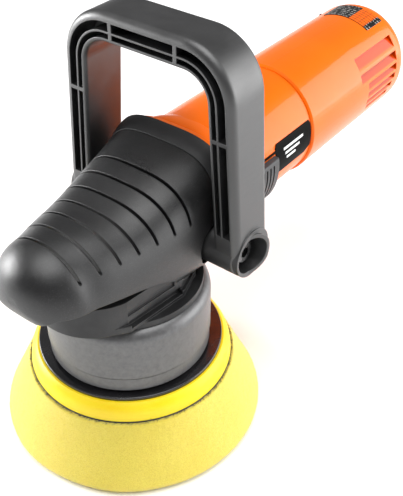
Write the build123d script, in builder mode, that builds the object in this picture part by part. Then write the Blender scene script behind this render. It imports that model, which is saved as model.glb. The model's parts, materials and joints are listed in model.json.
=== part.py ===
"""Dual-action polisher with a bail handle, as an assembly of separate pieces.

Frame: +Z up, the nose towards -Y, the grip towards +Y, +X on the switch side.
The origin is where the main spindle's axis meets the plane that the pad rests on.
"""

from math import cos, pi, radians, sin, sqrt
import os

from build123d import *

os.makedirs("parts", exist_ok=True)

# ---------------------------------------------------------------- driving dimensions, in mm
# pad and backing plate
hook_radius = 62.5
foam_flare_radius = 82.0
foam_height = 41.8
foam_edge_round = 5.3
loop_thickness = 1.6
cushion_thickness = 10.6
plate_rim_radius = 56.6
plate_thickness = 2.6
orbit_offset = 4.0
offset_direction = (-0.6, 0.8)

# main spindle and its bevel gears
motor_z = 143.8
wheel_teeth = 33
pinion_teeth = 9
gear_module = 1.5
tooth_length = 7.6
shaft_clearance = 0.03
bearing_balls = 9

# shroud
shroud_radius = 49.3
shroud_wall = 2.2
shroud_bottom = 59.3
shroud_seam = 68.9
shroud_top = 103.0

# head
cover_wall = 2.6
belt_height = 130.0
cover_rear = 33.0
nose_start = -56.0
nose_length = 25.5
nose_height = 143.0
groove_pitch = 11.7
groove_count = 7
groove_width = 1.7
groove_depth = 1.3
groove_low_end = 151.0
bracket_rear = 43.0

# motor housing and grip
barrel_radius = 36.8
barrel_wall = 2.6
flange_rear = 48.5
grip_front = 138.5
grip_rear = 274.0
grip_round = 15.0
grip_radius = 38.4
vent_pitch = 6.0
vent_height = 4.5

# slide switch
switch_middle_y = 79.0
switch_length = 34.0
switch_z = 137.5
switch_height = 28.0
switch_travel = 7.0
switch_stem_length = 12.0
switch_stem_height = 8.0
switch_ribs = 7
switch_rib_pitch = 3.6

# bail handle
bail_pivot_y = 34.3
bail_pivot_z = 128.0
bail_front = 21.7
bail_depth = 30.0
bail_arm_width = 15.8
bail_top = 248.8
boss_radius = 13.4
bolt_radius = 4.0
screw_radius = 2.0
bolt_end_x = 18.0
seat_floor_x = 28.0
seat_thickness = 2.0
part_gap = 0.4

# ---------------------------------------------------------------- planes and helpers
orbit_x = orbit_offset * offset_direction[0]
orbit_y = orbit_offset * offset_direction[1]
pad_plane = Plane(origin=(orbit_x, orbit_y, 0))
motor_plane = Plane(origin=(0, 0, motor_z), x_dir=(1, 0, 0), z_dir=(0, 1, 0))
low = (Align.CENTER, Align.CENTER, Align.MIN)
sides = (-1, 1)


def finish(builder, label):
    """Name the finished piece and write it as one STEP file."""
    builder.part.label = label
    export_step(builder.part, f"parts/{label}.step")


def ring_points(half_width, top, bottom, middle, power_up, power_down, count=28):
    """Points round a closed section: a superellipse above the middle height, another below it."""
    points = []
    for index in range(count):
        angle = 2 * pi * index / count
        power = power_up if sin(angle) >= 0 else power_down
        height = top - middle if sin(angle) >= 0 else middle - bottom
        x = half_width * abs(cos(angle)) ** (2 / power) * (1 if cos(angle) >= 0 else -1)
        z = height * abs(sin(angle)) ** (2 / power) * (1 if sin(angle) >= 0 else -1)
        points.append((x, middle + z))
    return points


def section_face(y, half_width, top, bottom, middle, power_up, power_down):
    """Closed face across the tool at one y, for lofting along the tool."""
    with BuildSketch(Plane.XZ.offset(-y)) as face:
        with BuildLine():
            Spline(*ring_points(half_width, top, bottom, middle, power_up, power_down), periodic=True)
        make_face()
    return face.sketch


def head_section(y, inset=0.0):
    """Section of the gear head: a wide flattened arch that narrows towards a round nose."""
    t = max(0.0, (nose_start - y) / nose_length)
    along = max(y, nose_start)
    shrink = sqrt(max(0.0, 1 - t * t))
    half_width = 39.2 + 0.09 * along - 0.0011 * along * along if along < 0 else 39.2 + 0.062 * along
    rise = 18.6 * (max(0.0, along + 22) / 65) ** 1.25
    top = 164.6 + rise
    bottom = 105.0 + 13.0 * min(1.0, abs(min(0.0, along)) / 56) ** 2
    power_up = 2.9 + 0.014 * along
    half_width = half_width * shrink - inset
    top = nose_height + (top - nose_height) * shrink - inset
    bottom = nose_height - (nose_height - bottom) * shrink + inset
    middle = nose_height - (nose_height - belt_height) * shrink
    return section_face(y, half_width, top, bottom, middle, power_up, 3.0)


def barrel_section(y, radius, power=2.15):
    """Section of the motor barrel and grip, centred on the motor's axis."""
    return section_face(y, radius, motor_z + radius, motor_z - radius, motor_z, power, power)


def ball_bearing(bore, outer, width):
    """Ball bearing on the Z axis from z = 0: two grooved rings and a row of balls."""
    middle = (bore + outer) / 2
    ball = (outer - bore) * 0.28
    with BuildPart() as bearing:
        Cylinder(outer, width, align=low)
        Cylinder(middle + ball * 0.45, width, align=low, mode=Mode.SUBTRACT)
        Cylinder(middle - ball * 0.45, width, align=low)
        Cylinder(bore, width, align=low, mode=Mode.SUBTRACT)
        with Locations((0, 0, width / 2)):
            Torus(middle, ball + 0.05, mode=Mode.SUBTRACT)
            with PolarLocations(middle, bearing_balls):
                Sphere(ball)
    return bearing.part


def gear_body(teeth, other_teeth, bore, hub_radius, hub_height):
    """Straight bevel gear on +Z with its cone's tip at the origin and its teeth below the tip."""
    pitch_radius = gear_module * teeth / 2
    apex_height = gear_module * other_teeth / 2
    cone = sqrt(pitch_radius**2 + apex_height**2)
    unit = (pitch_radius / cone, -apex_height / cone)
    normal = (apex_height / cone, pitch_radius / cone)
    inner = cone - tooth_length
    root = 1.15 * gear_module

    def at(distance, height):
        """Point (radius, z) at a distance down the pitch cone and a height above it."""
        share = distance / cone
        radial = unit[0] * distance + normal[0] * height * share
        return (radial, unit[1] * distance + normal[1] * height * share)

    with BuildPart() as gear:
        with BuildSketch(Plane.XZ):
            with BuildLine():
                base = at(cone, -root)
                front = at(inner, -root)
                bottom = base[1] - hub_height
                back = (base[0] - 0.6, base[1] - 1.2)
                hub_edge = (hub_radius, bottom)
                Polyline((bore, front[1]), front, base, back, hub_edge, (bore, bottom), close=True)
            make_face()
        revolve(axis=Axis.Z)
        half_pitch = pi * gear_module / 4
        solids = []
        for index in range(teeth):
            turn = 360 * index / teeth
            faces = []
            for distance in (cone, inner):
                foot = at(distance, -root - 0.2)
                tip = at(distance, 0.85 * gear_module)
                share = distance / cone
                foot_half = half_pitch * 1.30 * share
                tip_half = half_pitch * 0.40 * share
                corners = [
                    Vector(foot[0], -foot_half, foot[1]), Vector(foot[0], foot_half, foot[1]),
                    Vector(tip[0], tip_half, tip[1]), Vector(tip[0], -tip_half, tip[1]),
                ]
                corners = [corner.rotate(Axis.Z, turn) for corner in corners]
                faces.append(Face(Wire.make_polygon(corners)))
            solids.append(Solid.make_loft([face.outer_wire() for face in faces], ruled=True))
        add(solids)
    return gear.part


def placed(part, plane):
    """Copy of a part moved from the world frame into a plane's frame."""
    return plane.location * part


# ================================================================ pad unit, about the offset axis
loop_z = foam_height
cushion_z = loop_z + loop_thickness
plate_z = cushion_z + cushion_thickness
plate_top = plate_z + plate_thickness
pad_axis = Axis((orbit_x, orbit_y, 0), (0, 0, 1))
pad_profile_plane = Plane(origin=(orbit_x, orbit_y, 0), x_dir=(1, 0, 0), z_dir=(0, -1, 0))

with BuildPart() as foam_pad:
    with BuildSketch(pad_profile_plane):
        with BuildLine():
            flat_end = foam_flare_radius - foam_edge_round
            Line((0, 0), (flat_end, 0))
            TangentArc((flat_end, 0), (foam_flare_radius, foam_edge_round), tangent=(1, 0))
            Line((foam_flare_radius, foam_edge_round), (hook_radius, foam_height))
            Line((hook_radius, foam_height), (0, foam_height))
            Line((0, foam_height), (0, 0))
        make_face()
    revolve(axis=pad_axis)
finish(foam_pad, "foam_pad")

with BuildPart(pad_plane.offset(loop_z)) as loop_disc:
    Cylinder(hook_radius + 0.3, loop_thickness, align=low)
finish(loop_disc, "loop_disc")

plate_hole_radius = 4.1
washer_radius = 11.0
washer_thickness = 2.0
cushion_bore = 13.0
cushion_lip = 0.4
with BuildPart() as plate_cushion:
    with BuildSketch(pad_profile_plane):
        with BuildLine():
            edge_low = (hook_radius, cushion_z)
            edge_mid = (hook_radius - 0.6, cushion_z + 4.0)
            edge_top = (plate_rim_radius + 1.2, plate_z + cushion_lip)
            Line((cushion_bore, cushion_z), edge_low)
            Line(edge_low, edge_mid)
            TangentArc(edge_mid, edge_top, tangent=(-0.12, 1))
            Line(edge_top, (plate_rim_radius, plate_z + cushion_lip))
            Line((plate_rim_radius, plate_z + cushion_lip), (plate_rim_radius, plate_z))
            Line((plate_rim_radius, plate_z), (cushion_bore, plate_z))
            Line((cushion_bore, plate_z), (cushion_bore, cushion_z))
        make_face()
    revolve(axis=pad_axis)
finish(plate_cushion, "plate_cushion")

hub_radius = 17.0
hub_top = 63.5
rib_count = 12
with BuildPart(pad_plane.offset(plate_z)) as backing_plate:
    Cylinder(plate_rim_radius, plate_thickness, align=low)
    with Locations((0, 0, plate_thickness)):
        Cylinder(hub_radius, hub_top - plate_top, align=low)
    with PolarLocations((hub_radius + plate_rim_radius) / 2 - 3, rib_count):
        with Locations((0, 0, plate_thickness)):
            Box(plate_rim_radius - hub_radius - 9, 1.6, 1.6, align=low)
    Cylinder(plate_hole_radius, hub_top, align=low, mode=Mode.SUBTRACT)
    round_edges = backing_plate.edges().filter_by(GeomType.CIRCLE)
    fillet(round_edges.group_by(SortBy.RADIUS)[-1].sort_by(Axis.Z)[-1], 0.8)
finish(backing_plate, "backing_plate")

with BuildPart(pad_plane.offset(plate_z)) as plate_washer:
    with Locations((0, 0, -washer_thickness)):
        Cylinder(washer_radius, washer_thickness, align=low)
        Cylinder(plate_hole_radius, washer_thickness, align=low, mode=Mode.SUBTRACT)
finish(plate_washer, "plate_washer")

bolt_head_height = 5.0
bolt_head_radius = 6.5
stub_bottom = hub_top
stub_radius = 6.0
bolt_reach = 14.0
with BuildPart(pad_plane.offset(plate_z - washer_thickness - bolt_head_height)) as plate_bolt:
    Cylinder(bolt_head_radius, bolt_head_height, align=low)
    shank = washer_thickness + hub_top - plate_z + bolt_reach
    with Locations((0, 0, bolt_head_height)):
        Cylinder(4.0, shank, align=low)
    with BuildSketch(pad_plane.offset(plate_z - washer_thickness - bolt_head_height)):
        RegularPolygon(3.4, 6)
    extrude(amount=3.2, mode=Mode.SUBTRACT)
finish(plate_bolt, "plate_bolt")

stub_bearing_width = 8.0
stub_bearing_z = (67.0, 77.0)
stub_flange_radius = 9.0
stub_top = stub_bearing_z[1] + stub_bearing_width
with BuildPart(pad_plane) as stub_spindle:
    with Locations((0, 0, stub_bottom)):
        Cylinder(stub_flange_radius, stub_bearing_z[0] - stub_bottom - part_gap, align=low)
        Cylinder(stub_radius, stub_top - stub_bottom, align=low)
        Cylinder(4.0, bolt_reach + 0.5, align=low, mode=Mode.SUBTRACT)
finish(stub_spindle, "stub_spindle")

# ================================================================ spindle unit, about the head axis
eccentric_top = 100.2
eccentric_bottom = 66.6
pocket_top = stub_top + 1.0
eccentric_wall = 4.0
stub_bearing_outer = 14.0
shaft_seat_radius = 7.5
key_width = 4.0
with BuildPart(pad_plane) as eccentric_hub:
    with Locations((0, 0, eccentric_bottom)):
        Cylinder(stub_bearing_outer + eccentric_wall, eccentric_top - eccentric_bottom, align=low)
        Cylinder(stub_bearing_outer - 2.0, pocket_top - eccentric_bottom, align=low, mode=Mode.SUBTRACT)
    for height in stub_bearing_z:
        with Locations((0, 0, height - 0.5)):
            Cylinder(stub_bearing_outer, stub_bearing_width + 0.5, align=low, mode=Mode.SUBTRACT)
    with Locations((-orbit_x, -orbit_y, pocket_top + 2)):
        Cylinder(shaft_seat_radius, eccentric_top, align=low, mode=Mode.SUBTRACT)
        with Locations((shaft_seat_radius, 0, 0)):
            Box(key_width, key_width, eccentric_top, align=low, mode=Mode.SUBTRACT)
finish(eccentric_hub, "eccentric_hub")

stub_race = ball_bearing(stub_radius + shaft_clearance, stub_bearing_outer, stub_bearing_width)
with BuildPart() as stub_bearings:
    for bearing_z in stub_bearing_z:
        add(placed(stub_race, pad_plane.offset(bearing_z)))
finish(stub_bearings, "stub_bearings")

weight_inner = 24.0
weight_outer = 43.0
weight_bottom = 76.0
weight_top = 93.0
weight_turn = 36.87
arm_width = 34.0
arm_thickness = 4.0
with BuildPart(Plane.XY.offset(weight_bottom).rotated((0, 0, weight_turn))) as counterweight:
    Cylinder(weight_outer, weight_top - weight_bottom, align=low)
    Cylinder(weight_inner, weight_top - weight_bottom, align=low, mode=Mode.SUBTRACT)
    with Locations((0, 4, 0)):
        rearward = (Align.CENTER, Align.MIN, Align.CENTER)
        Box(2 * weight_outer, weight_outer, 60, align=rearward, mode=Mode.SUBTRACT)
    # arm across the top, up against the eccentric hub
    with Locations((0, 0, weight_top - weight_bottom - arm_thickness)):
        Box(arm_width, weight_inner + 4, arm_thickness, align=(Align.CENTER, Align.MAX, Align.MIN))
    with Locations((0, orbit_offset, 0)):
        Cylinder(stub_bearing_outer + eccentric_wall, 60, align=low, mode=Mode.SUBTRACT)
finish(counterweight, "counterweight")

bearing_z = 106.0
bearing_width = 10.0
with BuildPart() as output_shaft:
    shaft_steps = (
        (pocket_top + 2, eccentric_top, shaft_seat_radius),
        (eccentric_top, bearing_z - part_gap, 10.5),
        (bearing_z - part_gap, bearing_z + bearing_width + 1, 8.5),
        (bearing_z + bearing_width + 1, 137.0, 7.0),
        (137.0, 157.0, 5.0),
    )
    for start, end, radius in shaft_steps:
        with Locations((0, 0, start)):
            Cylinder(radius, end - start, align=low)
finish(output_shaft, "output_shaft")

with BuildPart() as spindle_key:
    with Locations((shaft_seat_radius + key_width / 4, 0, pocket_top + 3)):
        Box(key_width / 2 - 0.04, key_width - 0.04, 10, align=low)
finish(spindle_key, "spindle_key")

wheel_part = gear_body(wheel_teeth, pinion_teeth, 7.0, 13.0, 8.0)
with BuildPart() as bevel_wheel:
    add(placed(wheel_part.rotate(Axis.Z, 90), Plane.XY.offset(motor_z)))
finish(bevel_wheel, "bevel_wheel")

# ================================================================ armature, about the motor's axis
pinion_plane = Plane(origin=(0, 0, motor_z), x_dir=(1, 0, 0), z_dir=(0, -1, 0))
half_tooth = 180 / pinion_teeth
pinion_part = gear_body(pinion_teeth, wheel_teeth, 2.6, 4.4, 2.4)
with BuildPart() as bevel_pinion:
    add(placed(pinion_part.rotate(Axis.Z, 270 + half_tooth), pinion_plane))
finish(bevel_pinion, "bevel_pinion")

front_bearing_y = 33.0
front_bearing_width = 8.0
rear_bearing_y = 153.0
rear_bearing_width = 7.0
core_y = 66.0
core_length = 44.0
commutator_y = 124.0
commutator_length = 15.0
with BuildPart(motor_plane) as armature_shaft:
    shaft_steps = (
        (16.6, 28.0, 2.6),
        (28.0, front_bearing_y + front_bearing_width, 5.0),
        (front_bearing_y + front_bearing_width + part_gap, commutator_y + commutator_length, 5.5),
        (commutator_y + commutator_length, rear_bearing_y - part_gap, 5.0),
        (rear_bearing_y - part_gap, rear_bearing_y + rear_bearing_width, 4.0),
    )
    for start, end, radius in shaft_steps:
        with Locations((0, 0, start)):
            Cylinder(radius, end - start, align=low)
    with Locations((0, 0, front_bearing_y + front_bearing_width)):
        Cylinder(5.0, part_gap, align=low)
finish(armature_shaft, "armature_shaft")

core_radius = 17.6
core_slots = 12
with BuildPart(motor_plane.offset(core_y)) as armature_core:
    Cylinder(core_radius, core_length, align=low)
    Cylinder(5.5, core_length, align=low, mode=Mode.SUBTRACT)
    with PolarLocations(core_radius - 3.0, core_slots):
        Cylinder(2.2, core_length, align=low, mode=Mode.SUBTRACT)
        with Locations((2.5, 0, 0)):
            Box(5.0, 1.4, core_length, align=low, mode=Mode.SUBTRACT)
finish(armature_core, "armature_core")

with BuildPart(motor_plane.offset(core_y - 6)) as armature_winding:
    for start in (0, core_length + 6):
        with Locations((0, 0, start)):
            Cylinder(15.6, 6, align=low)
    with PolarLocations(core_radius - 3.0, core_slots):
        Cylinder(2.0, core_length + 12, align=low)
    Cylinder(5.5, core_length + 12, align=low, mode=Mode.SUBTRACT)
finish(armature_winding, "armature_winding")

commutator_bars = 24
with BuildPart(motor_plane.offset(commutator_y)) as commutator:
    Cylinder(11.0, commutator_length, align=low)
    Cylinder(5.5, commutator_length, align=low, mode=Mode.SUBTRACT)
    with PolarLocations(11.0, commutator_bars):
        Box(1.4, 0.5, commutator_length, align=low, mode=Mode.SUBTRACT)
finish(commutator, "commutator")

fan_y = 46.0
fan_radius = 25.0
fan_blades = 14
with BuildPart(motor_plane.offset(fan_y)) as motor_fan:
    Cylinder(fan_radius, 1.6, align=low)
    Cylinder(9.0, 10, align=low)
    with PolarLocations(17.0, fan_blades):
        Box(15.0, 1.4, 9.0, align=low, rotation=(0, 0, 25))
    Cylinder(fan_radius, 10, align=low, mode=Mode.INTERSECT)
    Cylinder(5.5, 10, align=low, mode=Mode.SUBTRACT)
finish(motor_fan, "motor_fan")

# ================================================================ head cover and bearing bracket
cover_stations = (
    cover_rear, 22.0, 11.0, 0.0, -12.0, -24.0, -36.0, -47.0, -56.0,
    -61.0, -66.0, -70.5, -74.5, -77.5, -79.6, -80.8, -81.35,
)
pocket_radius = 15.6
edge_rear_z = 104.4
edge_nose_z = 136.0
edge_line = ((-66, edge_nose_z), (-43, 133.4), (-22, 129.3), (-5, 122.5), (9, edge_rear_z))
chin_z = 129.0
chin_radius = 41.0


def head_solid(stations, inset=0.0):
    """Solid of the gear head between its first and last station."""
    with BuildPart() as head:
        for station in stations:
            add(head_section(station, inset))
        loft()
    return head.part


def pivot_cylinder(radius, start, end):
    """Pair of cylinders on the bail's pivot axis, one on each side."""
    with BuildPart() as pair:
        for side in sides:
            middle = side * (start + end) / 2
            with Locations(Location((middle, bail_pivot_y, bail_pivot_z), (0, 90, 0))):
                Cylinder(radius, end - start)
    return pair.part


inner_stations = [station for station in cover_stations if station > -79.0]
head_outer = head_solid(cover_stations)
head_inner = head_solid(inner_stations, cover_wall)
groove_floor = head_solid(cover_stations, groove_depth)
pivot_pockets = pivot_cylinder(pocket_radius, seat_floor_x, 60)

# everything below the cover's lower edge: high along the nose, falling towards the rear
with BuildPart() as cover_cut:
    with BuildSketch(Plane.YZ):
        with BuildLine():
            Line((-90, edge_nose_z), edge_line[0])
            Spline(*edge_line, tangents=((1, -0.03), (0.3, -1)))
            Line(edge_line[-1], (60, edge_rear_z - 2))
            Line((60, edge_rear_z - 2), (60, 80))
            Line((60, 80), (-90, 80))
            Line((-90, 80), (-90, edge_nose_z))
        make_face()
    extrude(amount=70, both=True)
    # the chin under the nose stays, round from side to side
    with Locations(Location((0, -45, chin_z + chin_radius), (90, 0, 0))):
        Cylinder(chin_radius, 50, align=low, mode=Mode.SUBTRACT)

with BuildPart() as head_cover:
    add(head_outer)
    add(head_inner, mode=Mode.SUBTRACT)
    add(cover_cut.part, mode=Mode.SUBTRACT)
    # open underneath, between the lower side walls
    with Locations((0, 20, edge_rear_z)):
        Box(60, 60, 20, mode=Mode.SUBTRACT)
    add(pivot_pockets, mode=Mode.SUBTRACT)
    # seven grooves across the top, each with round ends on the flanks
    groove_cuts = []
    for index in range(groove_count):
        y = 12.0 - groove_pitch * index
        with BuildPart(Plane.XY.offset(groove_low_end)) as cut:
            with Locations((0, y, 0)):
                Box(100, groove_width, 60, align=low)
            with Locations(Location((0, y, 0), (0, 90, 0))):
                Cylinder(groove_width / 2, 100)
            add(groove_floor, mode=Mode.SUBTRACT)
        groove_cuts.append(cut.part)
    add(groove_cuts, mode=Mode.SUBTRACT)
finish(head_cover, "head_cover")

# ================================================================ gear case and shroud
neck_bottom = 99.5
collar_bottom = shroud_top + 0.1
collar_top = 127.5
ledge_height = 4.2
flank_front = -36.0
flank_bend = 4.0
case_rear = 22.0
chamber_radius = 30.5
cavity_radius = 28.0
cavity_floor = 118.0
chamber_top = 149.0
shroud_screw_circle = 37.0
shroud_screw_angles = (-45, -135, 24, 156)
shroud_screw_spots = [
    (shroud_screw_circle * cos(radians(angle)), shroud_screw_circle * sin(radians(angle)), 0)
    for angle in shroud_screw_angles
]
vent_slots = ((119.0, 34.0, -19.0), (111.3, 38.0, -16.5))


def collar_outline(front_half, bend_half, rear_half, nose_y):
    """Plan of the gear case's collar: a round nose, flared flanks and a flat rear."""
    with BuildSketch() as outline:
        with BuildLine():
            Line((front_half, flank_front), (bend_half, flank_bend))
            Line((bend_half, flank_bend), (rear_half, case_rear))
            Line((rear_half, case_rear), (-rear_half, case_rear))
            Line((-rear_half, case_rear), (-bend_half, flank_bend))
            Line((-bend_half, flank_bend), (-front_half, flank_front))
            ThreePointArc((-front_half, flank_front), (0, nose_y), (front_half, flank_front))
        make_face()
    return outline.sketch


collar_plan = collar_outline(33.5, 38.2, 33.0, -60.0)
ledge_plan = collar_outline(35.5, 40.0, 34.0, -56.0)
with BuildPart() as gear_housing:
    add(collar_plan.moved(Location((0, 0, collar_bottom + ledge_height))))
    extrude(amount=collar_top - collar_bottom - ledge_height)
    with Locations((0, 0, collar_bottom)):
        Cylinder(45.0, ledge_height, align=low)
    with Locations((0, 0, neck_bottom)):
        Cylinder(30.6, 5.0, align=low)
    add(ledge_plan.moved(Location((0, 0, collar_bottom + ledge_height))))
    extrude(amount=ledge_height)
    with Locations((0, 0, collar_bottom)):
        Cylinder(chamber_radius, chamber_top - collar_bottom, align=low)
    with Locations((0, 0, 140.0)):
        Cylinder(11.0, 20.0, align=low)
    with Locations(motor_plane.location):
        Cylinder(12.0, case_rear, align=low)
    # long vent slots along both flanks
    for height, slot_length, slot_y in vent_slots:
        for side in sides:
            with Locations(Location((side * 38.0, slot_y, height), (0, 0, -side * 6.7))):
                Box(7.0, slot_length, 4.0, mode=Mode.SUBTRACT)
    # wheel chamber, pinion channel, bearing seat and shaft opening
    with Locations((0, 0, cavity_floor)):
        Cylinder(cavity_radius, 28.0, align=low, mode=Mode.SUBTRACT)
    with Locations((0, 0, neck_bottom)):
        Cylinder(12.5, 30, align=low, mode=Mode.SUBTRACT)
        Cylinder(22.0, bearing_z - neck_bottom, align=low, mode=Mode.SUBTRACT)
    with Locations((0, 0, bearing_z)):
        Cylinder(17.5, bearing_width, align=low, mode=Mode.SUBTRACT)
        Cylinder(15.5, bearing_width + 5, align=low, mode=Mode.SUBTRACT)
    with Locations((0, 0, 140)):
        Cylinder(8.0, 18, align=low, mode=Mode.SUBTRACT)
    with Locations(motor_plane.location):
        Cylinder(9.2, 40, align=low, mode=Mode.SUBTRACT)
    with Locations((0, 0, neck_bottom)):
        with Locations(*shroud_screw_spots):
            Cylinder(screw_radius, 12, align=low, mode=Mode.SUBTRACT)
    add(head_cover.part, mode=Mode.SUBTRACT)
    add(pivot_pockets, mode=Mode.SUBTRACT)
    with Locations((0, chamber_radius, 0)):
        Box(200, 100, 400, align=(Align.CENTER, Align.MIN, Align.CENTER), mode=Mode.SUBTRACT)
finish(gear_housing, "gear_housing")

retainer_z = 102.2
with BuildPart(Plane.XY.offset(retainer_z)) as bearing_retainer:
    Cylinder(21.9, bearing_z - retainer_z, align=low)
    Cylinder(11.2, bearing_z - retainer_z, align=low, mode=Mode.SUBTRACT)
    with PolarLocations(16.5, 3, start_angle=30):
        Cylinder(1.6, 10, align=low, mode=Mode.SUBTRACT)
finish(bearing_retainer, "bearing_retainer")

with BuildPart() as lower_spindle_bearing:
    add(placed(ball_bearing(8.5 + shaft_clearance, 17.5, bearing_width), Plane.XY.offset(bearing_z)))
finish(lower_spindle_bearing, "lower_spindle_bearing")

with BuildPart(Plane.XY.offset(chamber_top)) as upper_spindle_bush:
    Cylinder(8.0, 8.0, align=low)
    Cylinder(5.0 + shaft_clearance, 8.0, align=low, mode=Mode.SUBTRACT)
finish(upper_spindle_bush, "upper_spindle_bush")

crown_bore = 31.0
crown_radius = 44.0
crown_thickness = 2.6
shoulder_z = 96.0
with BuildPart() as shroud:
    with BuildSketch(Plane.XZ):
        with BuildLine():
            inner_radius = shroud_radius - shroud_wall
            crown_floor = shroud_top - crown_thickness
            shoulder = (shroud_radius, shoulder_z)
            crown = (crown_radius, shroud_top)
            Line((inner_radius, shroud_seam), (shroud_radius, shroud_seam))
            Line((shroud_radius, shroud_seam), shoulder)
            TangentArc(shoulder, crown, tangent=(0, 1))
            Line(crown, (crown_bore, shroud_top))
            Line((crown_bore, shroud_top), (crown_bore, crown_floor))
            Line((crown_bore, crown_floor), (crown_radius - 1.0, crown_floor))
            Line((crown_radius - 1.0, crown_floor), (inner_radius, shoulder_z - 1.0))
            Line((inner_radius, shoulder_z - 1.0), (inner_radius, shroud_seam))
        make_face()
    revolve(axis=Axis.Z)
    with Locations((0, 0, 90)):
        with Locations(*shroud_screw_spots):
            Cylinder(screw_radius, 20, align=low, mode=Mode.SUBTRACT)
finish(shroud, "shroud")

with BuildPart(Plane.XY.offset(shroud_top - crown_thickness)) as shroud_screws:
    with Locations(*shroud_screw_spots):
        Cylinder(screw_radius, 10, align=low)
        Cylinder(3.6, 1.6, align=(Align.CENTER, Align.CENTER, Align.MAX))
finish(shroud_screws, "shroud_screws")

with BuildPart(Plane.XY.offset(shroud_bottom)) as shroud_ring:
    Cylinder(shroud_radius - 0.5, shroud_seam - shroud_bottom - 0.8, align=low)
    Cylinder(shroud_radius - shroud_wall, shroud_seam - shroud_bottom, align=low)
    Cylinder(shroud_radius - shroud_wall - 1.2, 30, align=low, mode=Mode.SUBTRACT)
finish(shroud_ring, "shroud_ring")

# ================================================================ bearing bracket and its band
spigot_radius = 29.0
bracket_hole = 9.2
shaft_hole = 7.0
flange_screw_spots = ((27.0, 163.0), (-27.0, 163.0), (18.0, 115.5), (-18.0, 115.5))
flange_screw_end = 50.0
band_front = cover_rear + 0.1
with BuildPart() as band_solid:
    add(head_section(band_front, -0.5))
    add(head_section(38.0, -1.4))
    add(head_section(bracket_rear, -1.2))
    loft()

with BuildPart() as band_void:
    add(head_section(band_front, 4.0))
    add(head_section(bracket_rear, 4.0))
    loft()

with BuildPart() as bearing_bracket:
    add(band_solid.part)
    add(band_void.part, mode=Mode.SUBTRACT)
    # web across the band with the motor bearing's seat, and a spigot inside the cover
    with Locations(motor_plane.offset(case_rear + 0.1).location):
        Cylinder(spigot_radius, bracket_rear - case_rear - 0.1, align=low)
    add(head_solid((bracket_rear - 4.0, bracket_rear), 3.0))
    with Locations(Location((0, bail_pivot_y, bail_pivot_z), (0, 90, 0))):
        Cylinder(8.6, 2 * seat_floor_x)
    with Locations((0, 0, 50)):
        Cylinder(chamber_radius + 0.1, chamber_top + 0.1 - 50, align=low, mode=Mode.SUBTRACT)
    with Locations(motor_plane.location):
        Cylinder(bracket_hole, front_bearing_y - 3.0, align=low, mode=Mode.SUBTRACT)
        Cylinder(shaft_hole, 100, align=low, mode=Mode.SUBTRACT)
    with Locations(motor_plane.offset(front_bearing_y).location):
        Cylinder(13.0, 40, align=low, mode=Mode.SUBTRACT)
    # turned out behind the bearing to save weight
    with Locations(motor_plane.offset(front_bearing_y + front_bearing_width).location):
        Cylinder(20.0, 40, align=low, mode=Mode.SUBTRACT)
    add(pivot_pockets, mode=Mode.SUBTRACT)
    add(pivot_cylinder(bolt_radius, bolt_end_x, 60), mode=Mode.SUBTRACT)
    for x, z in flange_screw_spots:
        with Locations(Location((x, bracket_rear, z), (90, 0, 0))):
            Cylinder(screw_radius, 20, mode=Mode.SUBTRACT)
finish(bearing_bracket, "bearing_bracket")

with BuildPart() as flange_screws:
    for x, z in flange_screw_spots:
        with Locations(Location((x, flange_screw_end, z), (90, 0, 0))):
            Cylinder(screw_radius, flange_screw_end - bracket_rear + 4.0, align=low)
        with Locations(Location((x, bracket_rear - 4.0, z), (90, 0, 0))):
            Cylinder(3.5, 2.6, align=low)
finish(flange_screws, "flange_screws")

with BuildPart() as front_motor_bearing:
    front_ring = ball_bearing(5.0 + shaft_clearance, 13.0, front_bearing_width)
    add(placed(front_ring, motor_plane.offset(front_bearing_y)))
finish(front_motor_bearing, "front_motor_bearing")

# ================================================================ orange motor housing
flange_front = bracket_rear + 0.1


def flange_section(y, inset):
    """Section of the flange that matches the band, drawn in by an inset."""
    return section_face(y, 41.2 - inset, 182.4 - inset, 105.0 + inset, belt_height, 3.45, 3.2)


with BuildPart() as housing_outer:
    add(flange_section(flange_front, 0.0))
    add(flange_section(flange_rear, 0.6))
    loft()

with BuildPart() as housing_blend:
    add(flange_section(flange_rear - 0.2, 2.6))
    add(section_face(52.0, 37.6, motor_z + 37.4, 104.6, 138.0, 2.7, 2.6))
    add(barrel_section(60.0, barrel_radius - 0.2, 2.2))
    loft()

with BuildPart() as pocket_cups:
    add(pivot_cylinder(pocket_radius + 1.8, seat_floor_x - 1.6, 38.0))
    with Locations((0, flange_front, 0)):
        Box(200, 100, 600, align=(Align.CENTER, Align.MIN, Align.CENTER), mode=Mode.INTERSECT)

# shallow track round the barrel, which the thumb switch slides in
track_start = switch_middle_y - switch_length / 2 - switch_travel - part_gap
with BuildPart() as switch_track:
    with Locations(motor_plane.offset(track_start).location):
        Cylinder(barrel_radius + 12.0, switch_travel + 2 * part_gap, align=low)
        Cylinder(barrel_radius, switch_travel + 2 * part_gap, align=low, mode=Mode.SUBTRACT)
    with Locations((50, track_start, switch_z)):
        Box(100, 60, switch_height + 2 * part_gap, mode=Mode.INTERSECT)

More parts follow.
